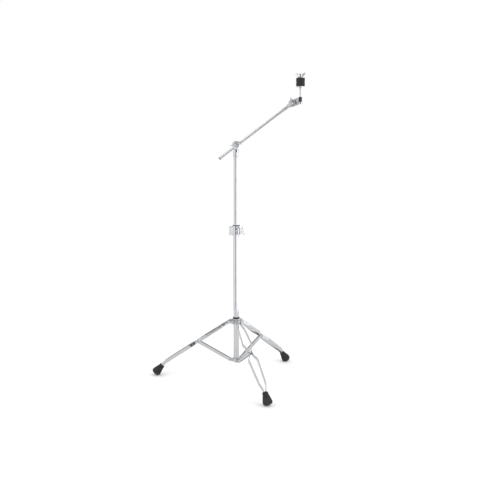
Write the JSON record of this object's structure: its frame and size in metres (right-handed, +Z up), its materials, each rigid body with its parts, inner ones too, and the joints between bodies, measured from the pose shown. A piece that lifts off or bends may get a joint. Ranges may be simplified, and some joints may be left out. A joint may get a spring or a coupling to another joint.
{
  "type": "boom cymbal stand",
  "caption": "Folding double-braced tripod stand with a telescoping pole and a tilting boom arm; felts and a wing nut on a rod hold one cymbal.",
  "frame": {"origin": "on the floor, below the centre of the stand's bounding box", "axes": "+Z up along the pole; the boom rises towards +X and slightly towards -Y, and the back of the stand is +Y"},
  "size_m": [0.6852, 0.6841, 1.3667],
  "materials": {
    "chromed_tube": "bright chrome plate on drawn steel tube, faint lengthwise wipe marks",
    "chromed_strip": "bright chrome plate on pressed steel strip, a little duller than the tubes",
    "chromed_casting": "chrome plate on die-cast metal, softly rounded, slightly wavy",
    "plated_rivet": "plated steel rivets with domed heads",
    "black_nylon": "black moulded nylon, slightly glossy",
    "black_rubber": "matt black moulded rubber",
    "black_felt": "dense pressed black wool felt"
  },
  "bodies": {
    "base": {"base_tube": "chromed_tube", "base_tube_plug": "black_nylon", "brace_hub": "chromed_casting", "brace_hub_pin_1": "plated_rivet", "brace_hub_pin_2": "plated_rivet", "brace_hub_pin_3": "plated_rivet", "height_clamp": "chromed_casting", "height_clamp_bushing": "black_nylon", "height_clamp_nut": "chromed_casting"},
    "leg_hub": {"leg_hub": "chromed_casting", "leg_hub_bushing": "black_nylon", "leg_hub_pin_1": "plated_rivet", "leg_hub_pin_2": "plated_rivet", "leg_hub_pin_3": "plated_rivet"},
    "leg_hub_wing_bolt": {"leg_hub_wing_bolt": "chromed_casting"},
    "height_wing_bolt": {"height_wing_bolt": "chromed_casting"},
    "tube_guide": {"tube_guide": "black_nylon"},
    "upper_pole": {"upper_tube": "chromed_tube", "tilter_base": "chromed_casting"},
    "tilter_head": {"tilter_head": "chromed_casting", "tilter_eye_bolt": "chromed_casting"},
    "tilter_wing_nut": {"tilter_wing_nut": "chromed_casting"},
    "boom": {"boom_tube": "chromed_tube", "boom_end_cap": "black_nylon", "boom_ferrule": "chromed_tube"},
    "cymbal_tilter_base": {"cymbal_tilter_lower": "chromed_casting"},
    "cymbal_post": {"cymbal_tilter_upper": "chromed_casting", "cymbal_tilter_bolt": "chromed_casting", "rod_socket": "black_nylon", "cymbal_rod": "chromed_tube", "seat_washer": "chromed_tube", "cymbal_sleeve": "black_nylon"},
    "cymbal_tilter_wing_nut": {"cymbal_tilter_wing_nut": "chromed_casting"},
    "lower_felt": {"lower_felt": "black_felt"},
    "upper_felt": {"upper_felt": "black_felt"},
    "cymbal_wing_nut": {"cymbal_wing_nut": "chromed_casting"},
    "leg_1": {"leg_1_left_strip": "chromed_strip", "leg_1_right_strip": "chromed_strip", "leg_1_left_rivet": "plated_rivet", "leg_1_right_rivet": "plated_rivet", "foot_1": "black_rubber"},
    "brace_1": {"brace_1_left_strip": "chromed_strip", "brace_1_right_strip": "chromed_strip"},
    "leg_2": {"leg_2_left_strip": "chromed_strip", "leg_2_right_strip": "chromed_strip", "leg_2_left_rivet": "plated_rivet", "leg_2_right_rivet": "plated_rivet", "foot_2": "black_rubber"},
    "brace_2": {"brace_2_left_strip": "chromed_strip", "brace_2_right_strip": "chromed_strip"},
    "leg_3": {"leg_3_left_strip": "chromed_strip", "leg_3_right_strip": "chromed_strip", "leg_3_left_rivet": "plated_rivet", "leg_3_right_rivet": "plated_rivet", "foot_3": "black_rubber"},
    "brace_3": {"brace_3_left_strip": "chromed_strip", "brace_3_right_strip": "chromed_strip"}
  },
  "joints": [
    {"name": "leg_hub_slide", "type": "slide", "parent": "base", "child": "leg_hub", "axis": [0, 0, 1], "range_m": [0, 0.1716]},
    {"name": "leg_hub_wing_bolt_turn", "type": "hinge", "parent": "leg_hub", "child": "leg_hub_wing_bolt", "pos_m": [0.0305, 0.01095, 0.2705], "axis": [-0.6428, -0.766, 0], "range_deg": [0, 720]},
    {"name": "leg_1_fold", "type": "hinge", "parent": "leg_hub", "child": "leg_1", "pos_m": [0.02092, 0.03726, 0.272], "axis": [-0.1736, -0.9848, 0], "range_deg": [0, 52.02]},
    {"name": "brace_1_fold", "type": "hinge", "parent": "base", "child": "brace_1", "pos_m": [0.02092, 0.03726, 0.091], "axis": [0.1736, 0.9848, 0], "range_deg": [0, 58.26]},
    {"name": "leg_2_fold", "type": "hinge", "parent": "leg_hub", "child": "leg_2", "pos_m": [0.05808, 0.00609, 0.272], "axis": [0.9397, 0.342, 0], "range_deg": [0, 52.02]},
    {"name": "brace_2_fold", "type": "hinge", "parent": "base", "child": "brace_2", "pos_m": [0.05808, 0.00609, 0.091], "axis": [-0.9397, -0.342, 0], "range_deg": [0, 58.26]},
    {"name": "leg_3_fold", "type": "hinge", "parent": "leg_hub", "child": "leg_3", "pos_m": [0.0665, 0.05385, 0.272], "axis": [-0.766, 0.6428, 0], "range_deg": [0, 52.02]},
    {"name": "brace_3_fold", "type": "hinge", "parent": "base", "child": "brace_3", "pos_m": [0.0665, 0.05385, 0.091], "axis": [0.766, -0.6428, 0], "range_deg": [0, 58.26]},
    {"name": "height_wing_bolt_turn", "type": "hinge", "parent": "base", "child": "height_wing_bolt", "pos_m": [0.06845, 0.01469, 0.684], "axis": [0.8829, 0.4695, 0], "range_deg": [0, 720]},
    {"name": "height_slide", "type": "slide", "parent": "base", "child": "tube_guide", "axis": [0, 0, 1], "range_m": [-0.295, 0.1]},
    {"name": "height_swivel", "type": "hinge", "parent": "tube_guide", "child": "upper_pole", "pos_m": [0.0485, 0.0324, 0.54], "axis": [0, 0, 1], "continuous": true},
    {"name": "boom_tilt", "type": "hinge", "parent": "upper_pole", "child": "tilter_head", "pos_m": [0.0485, 0.0324, 1.064], "axis": [-0.342, -0.9397, 0], "range_deg": [-75, 52.5]},
    {"name": "tilter_wing_nut_turn", "type": "hinge", "parent": "tilter_head", "child": "tilter_wing_nut", "pos_m": [0.04498, 0.02272, 1.064], "axis": [-0.342, -0.9397, 0], "range_deg": [0, 720]},
    {"name": "boom_slide", "type": "slide", "parent": "tilter_head", "child": "boom", "axis": [0.7688, -0.2798, 0.575], "range_m": [-0.21, 0.08]},
    {"name": "boom_roll", "type": "hinge", "parent": "boom", "child": "cymbal_tilter_base", "pos_m": [0.05568, 0.05213, 1.064], "axis": [0.7688, -0.2798, 0.575], "continuous": true},
    {"name": "cymbal_tilt", "type": "hinge", "parent": "cymbal_tilter_base", "child": "cymbal_post", "pos_m": [0.29017, -0.03321, 1.23938], "axis": [-0.342, -0.9397, 0], "range_deg": [-80, 80]},
    {"name": "cymbal_tilter_wing_nut_turn", "type": "hinge", "parent": "cymbal_post", "child": "cymbal_tilter_wing_nut", "pos_m": [0.28678, -0.04252, 1.23938], "axis": [-0.342, -0.9397, 0], "range_deg": [0, 720]},
    {"name": "lower_felt_lift", "type": "slide", "parent": "cymbal_post", "child": "lower_felt", "axis": [0, 0, 1], "range_m": [0, 0.06]},
    {"name": "upper_felt_lift", "type": "slide", "parent": "lower_felt", "child": "upper_felt", "axis": [0, 0, 1], "range_m": [0, 0.06]},
    {"name": "cymbal_wing_nut_turn", "type": "hinge", "parent": "upper_felt", "child": "cymbal_wing_nut", "pos_m": [0.32259, -0.04501, 1.3457], "axis": [0, 0, 1], "range_deg": [0, 1080]}
  ],
  "couplings": [
    {"joint": "leg_1_fold", "follows": "leg_hub_slide", "rad_per_m": 5.2889},
    {"joint": "brace_1_fold", "follows": "leg_hub_slide", "rad_per_m": 5.9235},
    {"joint": "leg_2_fold", "follows": "leg_hub_slide", "rad_per_m": 5.2889},
    {"joint": "brace_2_fold", "follows": "leg_hub_slide", "rad_per_m": 5.9235},
    {"joint": "leg_3_fold", "follows": "leg_hub_slide", "rad_per_m": 5.2889},
    {"joint": "brace_3_fold", "follows": "leg_hub_slide", "rad_per_m": 5.9235}
  ]
}
